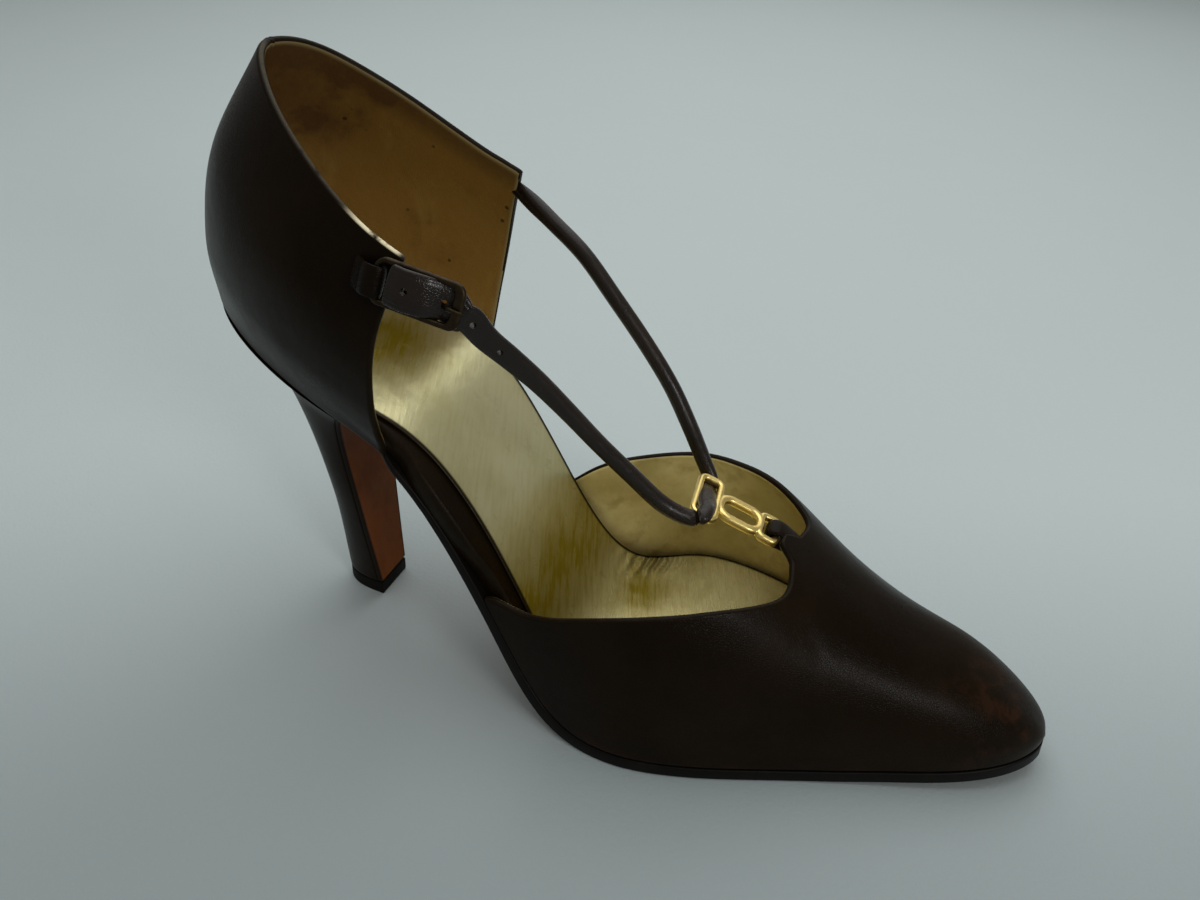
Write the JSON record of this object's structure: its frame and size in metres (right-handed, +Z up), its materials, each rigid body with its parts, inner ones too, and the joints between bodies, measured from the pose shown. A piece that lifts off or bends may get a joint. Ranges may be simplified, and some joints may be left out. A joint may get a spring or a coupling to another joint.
{
  "type": "high heel shoe",
  "caption": "Closed-toe, closed-back leather court shoe with a high covered heel, open sides, and a rolled strap through a gilt link to a side buckle.",
  "frame": {"origin": "on the floor, under the centre of the shoe's bounding box", "axes": "+X from heel to toe, +Y to the inner side of the foot, +Z up"},
  "size_m": [0.2196, 0.0788, 0.1513],
  "materials": {
    "sole_leather": "smooth, dark edge",
    "gold_leather": "metallic gold sock",
    "brown_leather": "smooth, soft gloss",
    "russet_leather": "smooth, worn",
    "black_rubber": "matt",
    "brass": "polished gilt",
    "dark_brass": "dark antique"
  },
  "bodies": {
    "root": {"outsole": "sole_leather", "insole": "gold_leather", "vamp": "brown_leather", "quarter": "brown_leather", "heel_block": "brown_leather", "heel_breast": "russet_leather", "heel_top_piece": "black_rubber", "vamp_link": "brass", "vamp_tab": "brown_leather", "strap": "brown_leather", "buckle_frame": "dark_brass", "buckle_prong": "dark_brass", "buckle_loop": "brown_leather"}
  },
  "joints": []
}
